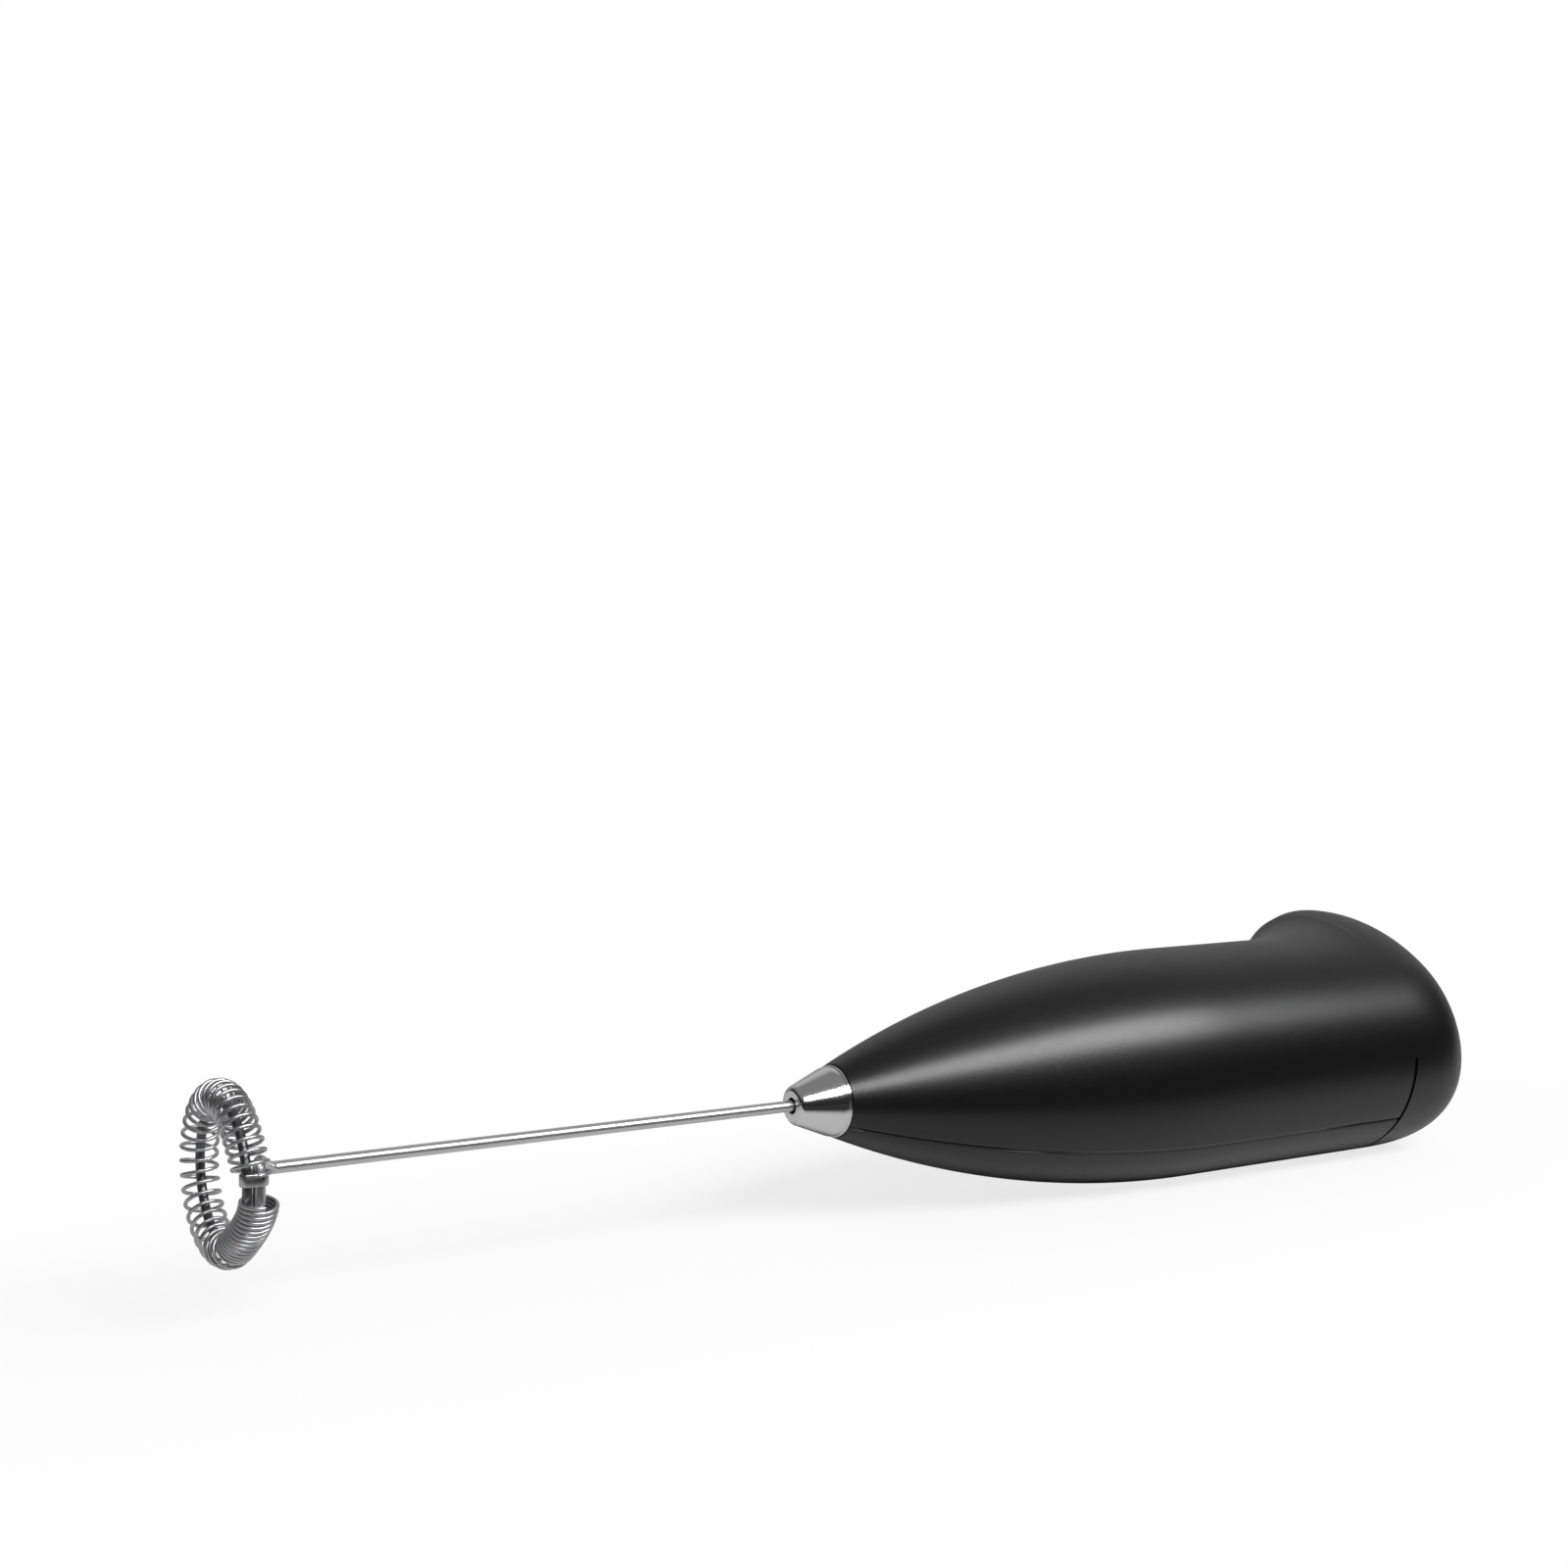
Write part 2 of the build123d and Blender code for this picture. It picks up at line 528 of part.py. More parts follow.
def contact_carrier():
    """Disc inside the cap with two posts for the contacts and a hole for the button stem."""
    carrier = rod(CARRIER, SHOULDER, CAP_BORE - RUNNING)
    outward = CELL_SPACING / 2 + CONTACT_SIDE / 4
    for side in (-1, 1):
        post = rod(CAP_CONTACTS + CONTACT_SHEET, CARRIER, CARRIER_POST_RADIUS, -CELL_DROP, side * outward)
        carrier += Rot(TRAY_TURN, 0, 0) * post
    return carrier - rod(CARRIER, SHOULDER, BUTTON_STEM_RADIUS + LOOSE, -BUTTON_DROP)


def bridge_span():
    """Front and rear of the bridge plate, one travel behind the cap contacts."""
    front = CAP_CONTACTS + CONTACT_SHEET + BUTTON_TRAVEL + RUNNING
    return front, front + CONTACT_SHEET


def button():
    """Push button: head, retaining flange and stem."""
    flange_rear = CHAMBER_END - FIT
    flange_front = flange_rear - BUTTON_FLANGE_THICKNESS
    head = rod(flange_rear, CAP_END + BUTTON_PROUD, BUTTON_RADIUS, -BUTTON_DROP)
    head = fillet(head.edges().sort_by(Axis.X)[-1], BUTTON_PROUD / 2)
    head += rod(flange_front, flange_rear, BUTTON_RADIUS + BUTTON_FLANGE, -BUTTON_DROP)
    return head + rod(bridge_span()[1], flange_front, BUTTON_STEM_RADIUS, -BUTTON_DROP)


# The whisk lies as it came to rest, the handle is rolled about the same axis, and the motor and the cells
# are turned in the handle, so that their weight keeps it lying that way
lifted = Pos(-REST_X, 0, BODY_RADIUS)
rolled = lifted * Rot(ROLL, 0, 0)
turned = rolled * Rot(TRAY_TURN, 0, 0)
motor_shaft_front = COUPLING_MIDDLE + RUNNING
motor_shaft_rear = BELL_END + MOTOR_BOSS_LENGTH / 2 - RUNNING

whisk_nodes = {
    "whisk_shaft": whisk_shaft(),
    "whisk_loop": ring_wire(LOOP_DIAMETER),
    "whisk_crimp": whisk_crimp(),
    "whisk_coil": wound_wire(coil_place, COIL_TURNS, COIL_WIRE),
    "shaft_coupling": shaft_coupling(),
    "motor_shaft": rod(motor_shaft_front, motor_shaft_rear, MOTOR_SHAFT_RADIUS),
    "armature_core": armature_core(),
    "armature_windings": armature_windings(),
    "commutator": tube(*commutator_span(), COMMUTATOR_RADIUS, MOTOR_SHAFT_RADIUS + RUNNING),
}
handle_nodes = {
    "upper_shell": casing_half(-1),
    "lower_shell": casing_half(1),
    "nose_cone": nose_cone(),
    "motor_mount": motor_mount(),
    "end_cap": end_cap(),
    "contact_carrier": contact_carrier(),
    "button": button(),
    "bridge_plate": rod(*bridge_span(), BRIDGE_RADIUS, -BUTTON_DROP),
    "button_spring": wound_wire(button_spring_place, BUTTON_SPRING_TURNS, BUTTON_SPRING_WIRE),
}
turned_nodes = {
    "motor_can": motor_can(),
    "motor_front_bearing": bearing(MOTOR_FRONT - MOTOR_BOSS_LENGTH, MOTOR_FRONT + MOTOR_SHEET),
    "motor_magnets": motor_magnets(),
    "motor_end_bell": motor_end_bell(),
    "motor_rear_bearing": bearing(BELL_END - MOTOR_BOSS_LENGTH / 2, BELL_END + MOTOR_BOSS_LENGTH / 2),
    "motor_brushes": motor_brushes(),
    "motor_terminals": Compound([terminal(-1), terminal(1)]),
    "battery_cradle": battery_cradle(),
    "front_contact_left": contact(-1, CONTACTS, 1),
    "front_contact_right": contact(1, CONTACTS, 1),
    "battery_left": cell(-1),
    "battery_right": cell(1),
    "cap_contact_left": contact(-1, CAP_CONTACTS + CONTACT_SHEET, -1),
    "cap_contact_right": contact(1, CAP_CONTACTS + CONTACT_SHEET, -1),
}

os.makedirs("parts", exist_ok=True)
for place, nodes in ((lifted, whisk_nodes), (rolled, handle_nodes), (turned, turned_nodes)):
    for name, shape in nodes.items():
        export_step(place * shape, f"parts/{name}.step")

coil_gap = least_gap(coil_place, COIL_TURNS, COIL_WIRE)
spring_gap = least_gap(button_spring_place, BUTTON_SPRING_TURNS, BUTTON_SPRING_WIRE)
print("least gap in the whisk coil", round(coil_gap, 3), "and in the button spring", round(spring_gap, 3))
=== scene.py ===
import json
from math import radians, tau

import bmesh
import bpy
import numpy as np
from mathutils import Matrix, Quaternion, Vector


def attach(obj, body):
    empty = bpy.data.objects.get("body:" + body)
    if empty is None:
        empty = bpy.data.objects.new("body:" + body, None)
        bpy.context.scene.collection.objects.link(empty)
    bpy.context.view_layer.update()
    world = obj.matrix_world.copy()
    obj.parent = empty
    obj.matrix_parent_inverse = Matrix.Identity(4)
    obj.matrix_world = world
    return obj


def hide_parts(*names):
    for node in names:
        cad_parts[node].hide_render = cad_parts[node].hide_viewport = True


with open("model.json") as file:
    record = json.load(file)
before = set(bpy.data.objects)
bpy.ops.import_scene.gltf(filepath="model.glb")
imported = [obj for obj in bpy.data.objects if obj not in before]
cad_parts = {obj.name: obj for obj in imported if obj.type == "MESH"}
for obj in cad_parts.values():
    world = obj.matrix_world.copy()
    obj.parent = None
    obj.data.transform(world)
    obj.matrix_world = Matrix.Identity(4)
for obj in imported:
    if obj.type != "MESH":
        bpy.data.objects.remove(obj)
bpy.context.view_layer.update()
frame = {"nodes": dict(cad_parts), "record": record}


# Casing halves. Two satin black mouldings that meet on a plane through the spine, with a fine groove along
# the joint, a lip that flares out at the rear rim and a slot at the rear of the spine to prise the cap off.
class Field:
    """A shader value that takes plain arithmetic: every operator adds one Math node behind it."""

    def __init__(self, tree, socket=None):
        self.tree = tree
        self.socket = socket

    def node(self, kind, settings=None, output=0, **inputs):
        """Adds one node, sets its settings, feeds its inputs by name or as i0, i1, and gives one output."""
        new = self.tree.nodes.new(kind)
        for key, value in (settings or {}).items():
            setattr(new, key, value)
        for key, value in inputs.items():
            target = new.inputs[int(key[1:]) if key[1:].isdigit() else key.replace("_", " ")]
            if isinstance(value, Field):
                self.tree.links.new(value.socket, target)
            else:
                target.default_value = value
        return Field(self.tree, new.outputs[output] if new.outputs else None)

    def math(self, operation, first, second=0.0):
        return self.node("ShaderNodeMath", {"operation": operation}, i0=first, i1=second)

    def __add__(self, other):
        return self.math("ADD", self, other)

    def __sub__(self, other):
        return self.math("SUBTRACT", self, other)

    def __rsub__(self, other):
        return self.math("SUBTRACT", other, self)

    def __mul__(self, other):
        return self.math("MULTIPLY", self, other)

    __radd__ = __add__
    __rmul__ = __mul__

    def ramp(self, low, high):
        """Rises smoothly from 0 at low to 1 at high."""
        step = {"interpolation_type": "SMOOTHSTEP"}
        return self.node("ShaderNodeMapRange", step, Value=self, From_Min=low, From_Max=high)

    def noise(self, scale, detail=2.0):
        """Cloudy noise, about 0.5 on average, with features 1/scale metres wide."""
        place = self.node("ShaderNodeTexCoord", output="Object")
        return self.node("ShaderNodeTexNoise", output="Fac", Vector=place, Scale=scale, Detail=detail)

    def tone(self, dark, light):
        """A colour between two grey or coloured tones, by this value from 0 to 1."""
        ends = {"i6": (*dark, 1.0), "i7": (*light, 1.0)}
        return self.node("ShaderNodeMix", {"data_type": "RGBA"}, output=2, i0=self, **ends)


def finish_of(name, paint):
    """A Principled material; paint gets a field to start from and gives the shader's inputs."""
    material = bpy.data.materials.new(name)
    material.use_nodes = True
    tree = material.node_tree
    shader = tree.nodes["Principled BSDF"]
    for key, value in paint(Field(tree)).items():
        if isinstance(value, Field):
            tree.links.new(value.socket, shader.inputs[key])
        else:
            shader.inputs[key].default_value = value
    return material


def grain(start, scale, height):
    """A shading normal from fine noise: bumps of the given height in metres."""
    return start.node("ShaderNodeBump", output="Normal", Height=start.noise(scale), Distance=height)


def surface(name, grid, material, round_rows=False, round_columns=True, ends=""):
    """A quad surface over a grid of points in millimetres, closed round its rows or columns or both, with
    flat faces over its first and last rows or columns where ends says so. Faces point outwards, and edges
    over 32 degrees stay sharp."""
    index = np.arange(grid.shape[0] * grid.shape[1]).reshape(grid.shape[:2])
    around = np.concatenate([index, index[:1]]) if round_rows else index
    around = np.concatenate([around, around[:, :1]], axis=1) if round_columns else around
    corners = [around[:-1, :-1], around[1:, :-1], around[1:, 1:], around[:-1, 1:]]
    faces = np.stack(corners, axis=-1).reshape(-1, 4).tolist()
    rims = {"": [], "rows": index[[0, -1]].tolist(), "columns": index.T[[0, -1]].tolist()}
    shell = bmesh.new()
    mesh = bpy.data.meshes.new(name)
    mesh.from_pydata((grid.reshape(-1, 3) * 0.001).tolist(), [], faces + rims[ends])
    shell.from_mesh(mesh)
    bmesh.ops.recalc_face_normals(shell, faces=shell.faces)
    shell.to_mesh(mesh)
    shell.free()
    mesh.polygons.foreach_set("use_smooth", np.ones(len(mesh.polygons), bool))
    mesh.set_sharp_from_angle(angle=radians(32))
    mesh.materials.append(material)
    skin = bpy.data.objects.new(name, mesh)
    bpy.context.scene.collection.objects.link(skin)
    return skin


body_radius, nose_radius, nose_length, body_length = 18.1, 5.4, 63.0, 101.4
lip_reach, lip_length, lip_turn = 8.195, 18.0, radians(75.0)
wall, neck_radius, neck_bore, neck_length, front_wall = 1.6, 3.2, 1.9, 3.0, 2.4
pry_gap, pry_depth, pry_half_angle = 0.6, 1.1, radians(35.0)
crest_drop, casing_crest, cap_crest = 1.3, 0.9, 3.4
arc_radius = (nose_length**2 + (body_radius - nose_radius) ** 2) / (2 * (body_radius - nose_radius))
axis_height, rest_station = body_radius, (nose_length + body_length) / 2


def handle_points(x, up, side):
    """Points of the handle in the part's frame: the handle is rolled about its axis to the way it lies."""
    roll = radians(-54.0)
    y = side * np.cos(roll) - up * np.sin(roll)
    z = side * np.sin(roll) + up * np.cos(roll) + axis_height
    return np.stack(np.broadcast_arrays(x - rest_station, y, z), axis=-1)


def form_radius(x, inset=0.0):
    """Casing radius at x: one arc that runs out tangent to the straight rear part."""
    run = np.maximum(nose_length - x, 0.0)
    return body_radius - arc_radius + np.sqrt((arc_radius - inset) ** 2 - run**2)


def section(x, lip, spine, side, angle, sunk=0.0, centre=0.0):
    """Two half ovals that meet at the sides, with their own reach to the lip and to the spine, sunk all
    round by a depth."""
    reach = np.where(np.cos(angle) > 0, lip, spine) - sunk
    up, across = centre + reach * np.cos(angle), (side - sunk) * np.sin(angle)
    return np.stack(np.broadcast_arrays(x, up, across), axis=-1)


def crest_ease(distance, reach, angle):
    """How far the crest of the lip is eased at a distance from the rim: most at the rim and at the lip."""
    return crest_drop * np.clip(1 - distance / reach, 0.0, 1.0) ** 2 * np.maximum(np.cos(angle), 0.0) ** 2


def satin_black(start):
    return {
        "Base Color": start.noise(60.0, 3.0).tone((0.0032, 0.0032, 0.0034), (0.0048, 0.0048, 0.0050)),
        "Roughness": 0.29 + 0.06 * start.noise(900.0),
        "Specular IOR Level": 0.58,
        "Normal": grain(start, 2600.0, 0.000010),
    }


casing_black = finish_of("satin black casing", satin_black)

lip_front, slot_front = body_length - lip_length, body_length - pry_gap
outer_x = np.concatenate([
    [0.0], np.linspace(1.0, lip_front, 60), np.linspace(lip_front + 0.5, slot_front - 0.02, 32),
    [slot_front, body_length - 0.4, body_length - 0.2, body_length],
])
wall_x = np.linspace(body_length, front_wall, 24)
inner_x = np.concatenate([wall_x, [front_wall, -neck_length, -neck_length, 0.0]])
inner_radius = np.concatenate([form_radius(wall_x, wall), [neck_bore, neck_bore, neck_radius, neck_radius]])

# The groove has soft shoulders. It shows at both ends of the handle and is faint along the middle.
groove_reach = np.array([0.6, 0.42, 0.28, 0.2, 0.0])
groove_depth = np.array([0.0, 0.015, 0.08, 0.3, 0.42])
worn = np.interp(outer_x, [0.8, 1.0, 22.0, 36.0, 84.0, 90.0], [0.0, 1.0, 1.0, 0.2, 0.2, 1.0])[:, None]

spine = np.concatenate([form_radius(outer_x), inner_radius])[:, None]
sweep = np.linspace(0.0, 1.0, 100)
angle = np.hstack([sweep * (np.pi - groove_reach[0] / spine), np.pi - groove_reach[1:] / spine])
outer_x, outer_spine, outer_angle = outer_x[:, None], spine[: len(outer_x)], angle[: len(outer_x)]
flare = np.clip(1 - (body_length - outer_x) / lip_length, 0.0, 1.0)
lip_rise = (1 - np.cos(np.arcsin(flare * np.sin(lip_turn)))) / (1 - np.cos(lip_turn))
groove = np.hstack([np.zeros(len(sweep)), groove_depth[1:]]) * worn
slot = pry_depth * np.clip((outer_angle - np.pi + pry_half_angle) / radians(1.5), 0.0, 1.0)
eased_crest = crest_ease(body_length - outer_x, casing_crest, outer_angle)
sunk = np.maximum(eased_crest + groove, slot * (outer_x >= slot_front))
outer = section(outer_x, outer_spine + lip_reach * lip_rise, outer_spine, outer_spine, outer_angle, sunk)
inner_angle, inner_reach = angle[len(outer_x):], inner_radius[:, None]
inner = section(inner_x[:, None], inner_reach, inner_reach, inner_reach, inner_angle)
half_shell = np.concatenate([outer, inner])
for half, node in ((1, "lower_shell"), (-1, "upper_shell")):
    grid = handle_points(half_shell[..., 0], half_shell[..., 1], half * half_shell[..., 2])
    skin = surface(node + "_skin", grid, casing_black, round_rows=True, round_columns=False, ends="columns")
    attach(skin, "handle")
    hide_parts(node)


# End cap. The same satin black moulding, domed, flush with the lip all round, with a skirt that plugs into
# the casing, a bore for the cells and a round chamber for the button.
cap_depth, cap_flat, lip_fullness, spine_fullness, side_fullness = 16.8, 0.985, 2.5, 4.2, 2.8
skirt_radius, cap_bore, skirt_length, shoulder = 16.4, 15.0, 5.0, 110.9
cap_end = body_length + cap_depth * cap_flat
button_drop, button_hole, hole_edge, chamber_radius = 1.4, 4.85, 0.25, 6.05


def dome_reach(rim, share, fullness):
    """Reach of the domed end at a share of its depth: a superellipse that starts from the rim."""
    return rim * (1 - share**fullness) ** (1 / fullness)


dome_x = cap_depth * cap_flat * np.sin(np.linspace(0.0, 1.0, 60) * np.pi / 2)[:, None]
share = dome_x / cap_depth
inside = np.array([
    (cap_end, -button_drop, button_hole + hole_edge),
    (cap_end - 0.32 * hole_edge, -button_drop, button_hole + 0.32 * hole_edge),
    (cap_end - hole_edge, -button_drop, button_hole),
    (cap_end - wall, -button_drop, button_hole),
    (cap_end - wall, -button_drop, chamber_radius),
    (shoulder, -button_drop, chamber_radius),
    (shoulder, 0.0, cap_bore),
    (body_length - skirt_length, 0.0, cap_bore),
    (body_length - skirt_length, 0.0, skirt_radius),
    (body_length, 0.0, skirt_radius),
])
angle = np.linspace(0.0, tau, 200, endpoint=False)
lip = dome_reach(body_radius + lip_reach, share, lip_fullness)
spine = dome_reach(body_radius, share, spine_fullness)
side = dome_reach(body_radius, share, side_fullness)
dome = section(body_length + dome_x, lip, spine, side, angle, crest_ease(dome_x, cap_crest, angle))
x, centre, radius = (inside[:, i, None] for i in range(3))
cap = np.concatenate([dome, section(x, radius, radius, radius, angle, 0.0, centre)])
skin = surface("end_cap_skin", handle_points(*np.moveaxis(cap, -1, 0)), casing_black, round_rows=True)
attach(skin, "cap")
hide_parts("end_cap")


# Nose cone. A bright plated cone with a rounded shoulder and front edge, a fine bead round its base and a
# hole that the shaft runs through with a dark gap.
def turned(profile, up=0.0):
    """A round piece of the handle: an outline of stations and radii turned about a line along the axis."""
    angle = np.linspace(0.0, tau, 144, endpoint=False)
    x, radius = profile[:, :1], profile[:, 1:]
    return handle_points(x + 0 * angle, up + radius * np.cos(angle), radius * np.sin(angle))


def eased(corners, reaches, steps=8):
    """An outline with each corner eased by a curve that starts a reach before it and ends a reach after it
    (a quadratic curve with the corner as its middle point)."""
    corners = np.array(corners, float)
    share = np.linspace(0.0, 1.0, steps)[:, None]
    before = np.roll(corners, 1, axis=0) - corners
    after = np.roll(corners, -1, axis=0) - corners
    outline = []
    for corner, back, on, reach in zip(corners, before, after, reaches):
        start = corner + back / np.linalg.norm(back) * reach
        end = corner + on / np.linalg.norm(on) * reach
        curve = start * (1 - share) ** 2 + corner * 2 * share * (1 - share) + end * share**2
        outline.append(curve if reach > 0 else corner[None])
    return np.concatenate(outline)


def bright_plating(start):
    return {
        "Base Color": start.noise(120.0).tone((0.80, 0.80, 0.81), (0.86, 0.86, 0.86)),
        "Metallic": 1.0,
        "Roughness": 0.09 + 0.05 * start.noise(700.0),
    }


cone_length, cone_base, cone_tip, cone_bore = 7.2, 5.2, 2.65, 1.15
bead, bead_height, cone_shoulder, socket_radius, socket_depth = 0.5, 0.167, 1.2, 3.23, 3.1
profile = eased(
    [
        (0, socket_radius), (0, cone_base), (-bead, cone_base), (-bead, cone_base - bead_height),
        (-cone_shoulder, cone_base - bead_height), (-cone_length, cone_tip), (-cone_length, cone_bore),
        (-socket_depth, cone_bore), (-socket_depth, socket_radius),
    ],
    [0, 0.12, 0.12, 0.04, 0.46, 0.68, 0.15, 0, 0],
)
plating = finish_of("bright plating", bright_plating)
skin = surface("nose_cone_skin", turned(profile), plating, round_rows=True)
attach(skin, "handle")
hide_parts("nose_cone")


# Whisk shaft. One stainless wire from the motor coupling, straight on the axis, bent out behind the ring and
# bent again to a short leg that lies along the ring, through the crimp and into the end of the coil.
def wire(line, wire_radius, sides=12):
    """Rings of a round wire along a line of points: each ring stands square to the line, and its start
    turns as little as it can from ring to ring."""
    heading = np.gradient(line, axis=0)
    heading /= np.linalg.norm(heading, axis=1)[:, None]
    across = np.zeros_like(line)
    across[0] = np.cross(heading[0], (0.31, 0.42, 0.85))
    for i in range(1, len(line)):
        across[i] = across[i - 1] - heading[i] * (across[i - 1] @ heading[i])
    across /= np.linalg.norm(across, axis=1)[:, None]
    other = np.cross(heading, across)
    turn = np.linspace(0.0, tau, sides, endpoint=False)[None, :, None]
    return line[:, None] + wire_radius * (np.cos(turn) * across[:, None] + np.sin(turn) * other[:, None])


def bent(corners, radius, steps=16):
    """A line through corners in space, each inner corner replaced by an arc that touches both its sides."""
    line = [corners[:1]]
    for before, corner, after in zip(corners, corners[1:], corners[2:]):
        back = (before - corner) / np.linalg.norm(before - corner)
        on = (after - corner) / np.linalg.norm(after - corner)
        half_turn = (np.pi - np.arccos(back @ on)) / 2
        inward = (back + on) / np.linalg.norm(back + on)
        sideways = (on - back) / np.linalg.norm(on - back)
        turn = np.linspace(-half_turn, half_turn, steps)[:, None]
        centre = corner + inward * radius / np.cos(half_turn)
        line.append(centre + radius * (np.sin(turn) * sideways - np.cos(turn) * inward))
    return np.concatenate([*line, corners[-1:]])


def drawn_steel(start):
    return {
        "Base Color": start.noise(400.0).tone((0.66, 0.66, 0.67), (0.78, 0.78, 0.78)),
        "Metallic": 1.0,
        "Roughness": 0.27 + 0.10 * start.noise(1500.0),
    }


shaft_radius, shaft_bend, shaft_start = 0.8, 1.1, 12.17 - rest_station
ring_x, loop_radius = -90.1 - rest_station, 8.9
leg_x, leg_top, leg_end = ring_x + 1.49, 3.13, -2.3
axis_end = ring_x + 6.0
leg = [(leg_x, -loop_radius, height) for height in (leg_top, leg_end)]
corners = [(shaft_start, 0, 0), (axis_end, 0, 0), *leg]
line = bent(np.array(corners) + (0.0, 0.0, axis_height), shaft_bend)
steel = finish_of("drawn stainless wire", drawn_steel)
skin = surface("whisk_shaft_skin", wire(line, shaft_radius, 24), steel, ends="rows")
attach(skin, "rotor")
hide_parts("whisk_shaft")


# Whisk loop. The round core wire of the ring, closed inside the crimp. It is a little duller than the
# spring wire round it, and its colour is painted far darker as painted shade, so that it shows between the
# turns as a dark line.
def painted_shade_steel(start):
    return {
        # painted shade: the core wire's metal is painted near black so that it reads as shade between the
        # coil's turns
        "Base Color": start.noise(500.0).tone((0.13, 0.13, 0.135), (0.2, 0.2, 0.205)),
        "Metallic": 1.0,
        "Roughness": 0.26 + 0.14 * start.noise(1500.0),
    }


loop_wire = 0.6
turn = np.linspace(0.0, tau, 200, endpoint=False)[:, None]
wire_turn = np.linspace(0.0, tau, 20, endpoint=False)
reach = loop_radius + loop_wire * np.cos(wire_turn)
ring = (ring_x + loop_wire * np.sin(wire_turn), -reach * np.cos(turn), reach * np.sin(turn) + axis_height)
core = finish_of("core wire painted dark as shade", painted_shade_steel)
skin = surface("whisk_loop_skin", np.stack(np.broadcast_arrays(*ring), axis=-1), core, round_rows=True)
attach(skin, "rotor")
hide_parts("whisk_loop")


# Crimp. A pressed steel barrel that clamps the shaft's leg beside the loop. Its outline is a strap round the
# two wires, and its rims are eased.
def pressed_steel(start):
    return {
        "Base Color": start.noise(500.0).tone((0.52, 0.52, 0.53), (0.66, 0.66, 0.67)),
        "Metallic": 1.0,
        "Roughness": 0.22 + 0.16 * start.noise(1800.0),
    }


crimp_wall, crimp_foot, crimp_top, crimp_edge = 0.35, 0.1, 1.7, 0.18
drawn_in = np.array([1.0, 0.3, 0.0, 0.0, 0.3, 1.0])[:, None] * crimp_edge
height = np.array([0.0, 0.3, 1.0]) * crimp_edge
height = np.concatenate([crimp_foot + height, crimp_top - height[::-1]])[:, None]
turn = np.linspace(0.0, tau, 64, endpoint=False)
loop_side, leg_side = loop_wire + crimp_wall - drawn_in, shaft_radius + crimp_wall - drawn_in
near_leg = leg_x * np.cos(turn) + leg_side > ring_x * np.cos(turn) + loop_side
reach = np.where(near_leg, leg_side, loop_side)
x = np.where(near_leg, leg_x, ring_x) + reach * np.cos(turn)
barrel = np.stack(np.broadcast_arrays(x, reach * np.sin(turn) - loop_radius, height + axis_height), axis=-1)
skin = surface("whisk_crimp_skin", barrel, finish_of("pressed steel", pressed_steel), ends="rows")
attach(skin, "rotor")
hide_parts("whisk_crimp")


# Whisk coil. One stainless spring wire wound round the loop, open round most of the ring and close-wound
# like a sleeve at its end, which is sprung towards the handle over the leg of the shaft.
def spring_steel(start):
    return {
        "Base Color": start.noise(900.0).tone((0.50, 0.50, 0.51), (0.68, 0.68, 0.69)),
        "Metallic": 1.0,
        "Roughness": 0.24 + 0.12 * start.noise(2500.0),
    }


coil_ring, helix_radius, coil_wire = 9.3, 2.21, 0.25
first_angle, top_angle, close_angle, last_angle = np.radians([9.0, 95.0, 302.0, 349.0])
ring_turns = np.cumsum([0.0, 11.0, 19.0, 14.0])
curl = np.linspace(0.0, ring_turns[-1], 2600)
ring = np.interp(curl, ring_turns, [first_angle, top_angle, close_angle, last_angle])
start_shift, start_reach, end_shift = 0.6, radians(40.0), 1.4
begun = np.clip((ring - first_angle) / start_reach, 0.0, 1.0)
sprung = np.clip((ring - close_angle) / (last_angle - close_angle), 0.0, 1.0)
shift = start_shift * (1 - begun) ** 2 + end_shift * sprung**2 * (3 - 2 * sprung)
x = ring_x + helix_radius * np.sin(tau * curl) + shift
reach = coil_ring + helix_radius * np.cos(tau * curl)
line = np.stack([x, -reach * np.cos(ring), reach * np.sin(ring) + axis_height], axis=-1)
spring = finish_of("spring wire", spring_steel)
skin = surface("whisk_coil_skin", wire(line, coil_wire), spring, ends="rows")
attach(skin, "rotor")
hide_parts("whisk_coil")


# Button. A satin black disc in the end of the cap, faintly dished for the thumb. A flange behind the wall
# keeps it in, and a stem carries the bridge plate.
def button_black(start):
    return {
        "Base Color": start.noise(90.0).tone((0.008, 0.008, 0.0085), (0.012, 0.012, 0.0125)),
        "Roughness": 0.34 + 0.08 * start.noise(900.0),
        "Specular IOR Level": 0.58,
        "Normal": grain(start, 2600.0, 0.000010),
    }


button_radius, flange_radius, stem_radius, stem_front, dish = 4.6, 5.8, 1.6, 107.93, 0.25
flange, flange_gap, button_proud, dish_rim = 1.0, 0.1, 1.2, 1.2
flange_rear, head_end = cap_end - wall - flange_gap, cap_end + button_proud
flange_front = flange_rear - flange
profile = eased(
    [
        (stem_front, stem_radius / 4), (stem_front, stem_radius), (flange_front, stem_radius),
        (flange_front, flange_radius), (flange_rear, flange_radius), (flange_rear, button_radius),
        (head_end, button_radius), (head_end, button_radius - dish_rim), (head_end - dish, button_radius / 4),
    ],
    [0, 0.2, 0, 0.2, 0.2, 0, 0.5, 0.5, 0],
)
button = finish_of("satin black button", button_black)
skin = surface("button_skin", turned(profile, -button_drop), button, ends="rows")
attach(skin, "button")
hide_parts("button")


# Inner pieces. Motor, cells, contacts and their carriers keep the shape of the drawing, in the plastics and
# metals that such parts are made of.
def plain_plastic(dark, light):
    """A moulded finish between two tones."""
    def paint(start):
        tone = start.noise(150.0).tone(dark, light)
        return {"Base Color": tone, "Roughness": 0.45 + 0.1 * start.noise(800.0)}
    return paint


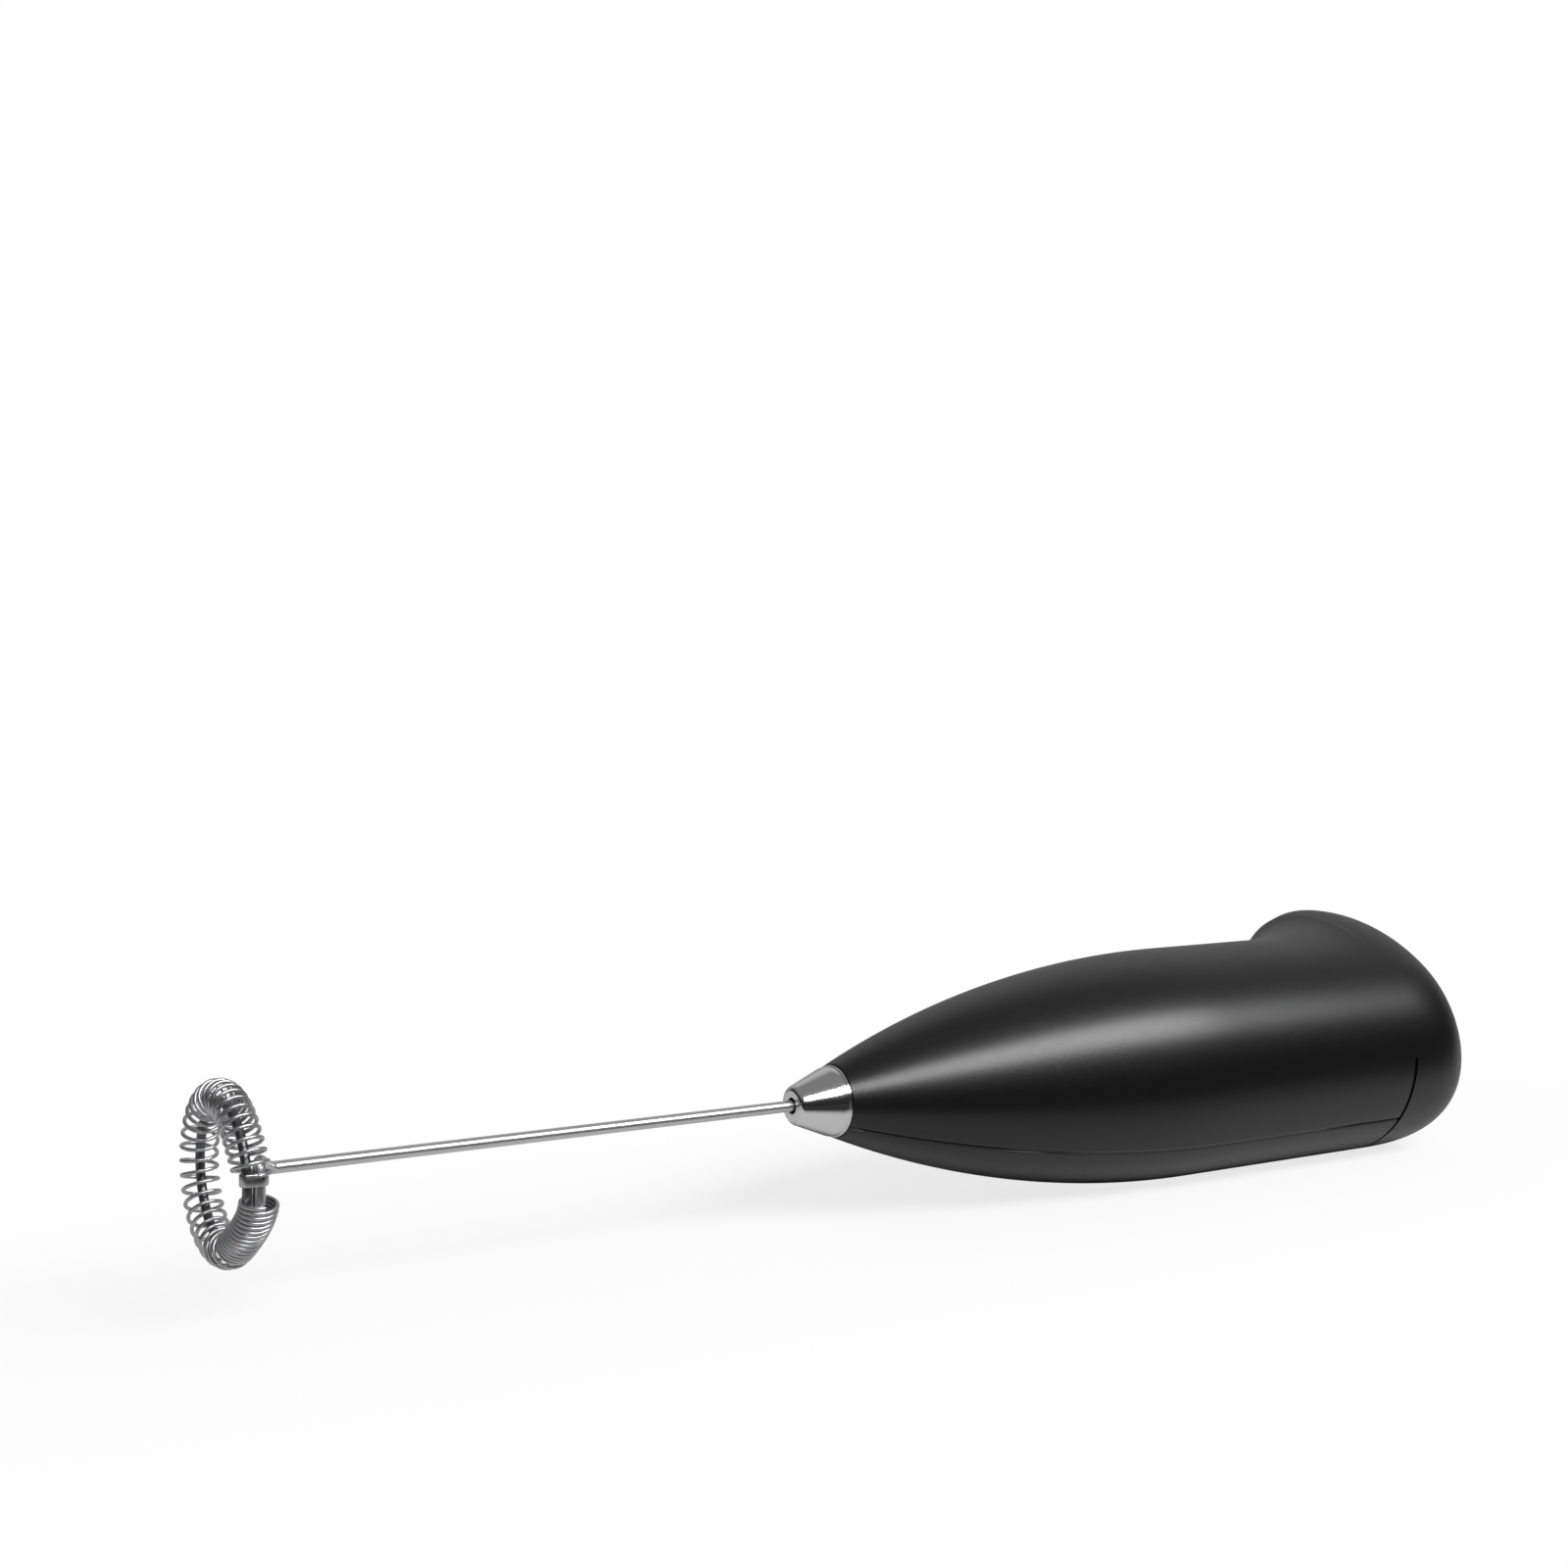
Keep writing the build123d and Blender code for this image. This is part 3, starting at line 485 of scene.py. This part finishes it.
def plain_metal(dark, light):
    """A bare metal finish between two tones."""
    def paint(start):
        return {
            "Base Color": start.noise(300.0).tone(dark, light),
            "Metallic": 1.0,
            "Roughness": 0.22 + 0.16 * start.noise(900.0),
        }
    return paint


inner_finishes = {
    "inner_plastic": plain_plastic((0.018, 0.018, 0.019), (0.026, 0.026, 0.027)),
    "coupling_plastic": plain_plastic((0.62, 0.62, 0.58), (0.72, 0.72, 0.68)),
    "bell_plastic": plain_plastic((0.66, 0.66, 0.64), (0.76, 0.76, 0.74)),
    "magnet_ferrite": plain_plastic((0.03, 0.03, 0.032), (0.05, 0.05, 0.052)),
    "cell_jacket": plain_plastic((0.09, 0.1, 0.12), (0.12, 0.13, 0.15)),
    "motor_steel": plain_metal((0.48, 0.48, 0.49), (0.6, 0.6, 0.61)),
    "core_steel": plain_metal((0.26, 0.26, 0.27), (0.36, 0.36, 0.37)),
    "bearing_bronze": plain_metal((0.42, 0.29, 0.14), (0.52, 0.37, 0.2)),
    "winding_copper": plain_metal((0.58, 0.26, 0.1), (0.7, 0.34, 0.15)),
    "contact_brass": plain_metal((0.66, 0.5, 0.23), (0.76, 0.6, 0.3)),
    "contact_plate": plain_metal((0.66, 0.66, 0.65), (0.76, 0.76, 0.75)),
    "spring_steel": plain_metal((0.52, 0.52, 0.53), (0.66, 0.66, 0.67)),
}
materials = {name: finish_of(name, paint) for name, paint in inner_finishes.items()}
for entry in frame["record"]["subparts"]:
    if entry["material_slot"] in materials:
        node = frame["nodes"][entry["node"]]
        node.data.materials.clear()
        node.data.materials.append(materials[entry["material_slot"]])


# Floor. A pale table top. The camera sees it white, with a faint shadow round the object that is gone half
# a handle's length away. In reflections it is pale near the object and is painted dark in front of it, a
# painted shade that the lower side of the handle reflects.
floor_mesh = bpy.data.meshes.new("floor")
floor_reach = 6.0
floor_corners = [(x * floor_reach, y * floor_reach, 0) for x, y in ((-1, -1), (1, -1), (1, 1), (-1, 1))]
floor_mesh.from_pydata(floor_corners, [], [(0, 1, 2, 3)])
floor = bpy.data.objects.new("floor", floor_mesh)
bpy.context.scene.collection.objects.link(floor)
floor_paint = bpy.data.materials.new("white table")
floor_paint.use_nodes = True
floor_paint.node_tree.nodes.clear()
start = Field(floor_paint.node_tree)
place = start.node("ShaderNodeTexCoord", output="Object")
along = {"operation": "DOT_PRODUCT"}
in_front = start.node("ShaderNodeVectorMath", along, "Value", i0=place, i1=(0.0, -1.0, 0.0))
squeeze = {"operation": "MULTIPLY_ADD"}
place = start.node("ShaderNodeVectorMath", squeeze, i0=place, i1=(0.3, 1.0, 0.0), i2=(0.02, 0.0, 0.0))
away = start.node("ShaderNodeVectorMath", {"operation": "LENGTH"}, output="Value", i0=place)
camera_ray = start.node("ShaderNodeLightPath", output="Is Camera Ray")
glow_share = camera_ray * (0.78 + 0.22 * away.ramp(0.02, 0.09))
# painted shade: for rays other than the camera's, the floor's colour falls to near black in front of the
# object
matt_tone = camera_ray * 0.95 + (1 - camera_ray) * (0.6 - 0.57 * in_front.ramp(0.022, 0.06))
matt = start.node("ShaderNodeBsdfDiffuse", Color=matt_tone)
glow = start.node("ShaderNodeEmission", Color=(1.0, 1.0, 1.0, 1.0), Strength=1.0)
both = start.node("ShaderNodeMixShader", Fac=glow_share, i1=matt, i2=glow)
start.node("ShaderNodeOutputMaterial", Surface=both)
floor_mesh.materials.append(floor_paint)


# Studio. A dim room with a white backdrop behind the object, which the camera sees as white all round, and
# one long soft box above the front.
world = bpy.data.worlds.new("studio")
bpy.context.scene.world = world
world.use_nodes = True
world.node_tree.nodes.clear()
start = Field(world.node_tree)
toward = start.node("ShaderNodeTexCoord", output="Generated")
behind = start.node("ShaderNodeVectorMath", along, "Value", i0=toward, i1=(0.53, 0.85, 0.0))
above = start.node("ShaderNodeVectorMath", along, "Value", i0=toward, i1=(0.0, 0.0, 1.0))
camera_ray = start.node("ShaderNodeLightPath", output="Is Camera Ray")
glossy_ray = start.node("ShaderNodeLightPath", output="Is Glossy Ray")
backdrop = behind.ramp(0.3, 0.8)
ceiling = above.ramp(0.25, 0.7)
room_tone = 0.02 + 0.2 * ceiling + 0.25 * backdrop
room = start.node("ShaderNodeBackground", Color=room_tone, Strength=1.0)
white = start.node("ShaderNodeBackground", Color=(1.0, 1.0, 1.0, 1.0), Strength=1.0)
both = start.node("ShaderNodeMixShader", Fac=camera_ray + 0.1 * glossy_ray * backdrop, i1=room, i2=white)
start.node("ShaderNodeOutputWorld", Surface=both)


handle_middle = Vector((-0.03, 0.0, 0.03))


def soft_box(name, direction, distance, width, height, power):
    """An area light at a distance in a direction from the handle, facing it."""
    light = bpy.data.lights.new(name, "AREA")
    light.shape = "RECTANGLE"
    light.size = width
    light.size_y = height
    light.energy = power
    lamp = bpy.data.objects.new(name, light)
    outward = Vector(direction).normalized()
    lamp.location = outward * distance + handle_middle
    lamp.rotation_euler = (-outward).to_track_quat("-Z", "Y").to_euler()
    bpy.context.scene.collection.objects.link(lamp)


soft_box("front box", (0.15, -0.72, 0.65), 0.95, 1.2, 0.34, 12.0)


# Camera. Nearly level and a little above the handle, from the whisk's side, so that the ring shows as a tall
# oval and the handle runs away from it.
camera = bpy.data.cameras.new("camera")
camera.lens = 51.75
camera.sensor_width = 36.0
viewer = bpy.data.objects.new("camera", camera)
viewer.location = (-0.2608, -0.2689, 0.0801)
yaw, pitch, roll = radians(32.30), radians(2.876), radians(0.179)
ahead = Vector((np.sin(yaw) * np.cos(pitch), np.cos(yaw) * np.cos(pitch), -np.sin(pitch)))
level = ahead.to_track_quat("-Z", "Y")
viewer.rotation_euler = (level @ Quaternion((0, 0, 1), roll)).to_euler()
bpy.context.scene.collection.objects.link(viewer)
bpy.context.scene.camera = viewer
bpy.context.scene.view_settings.view_transform = "Standard"
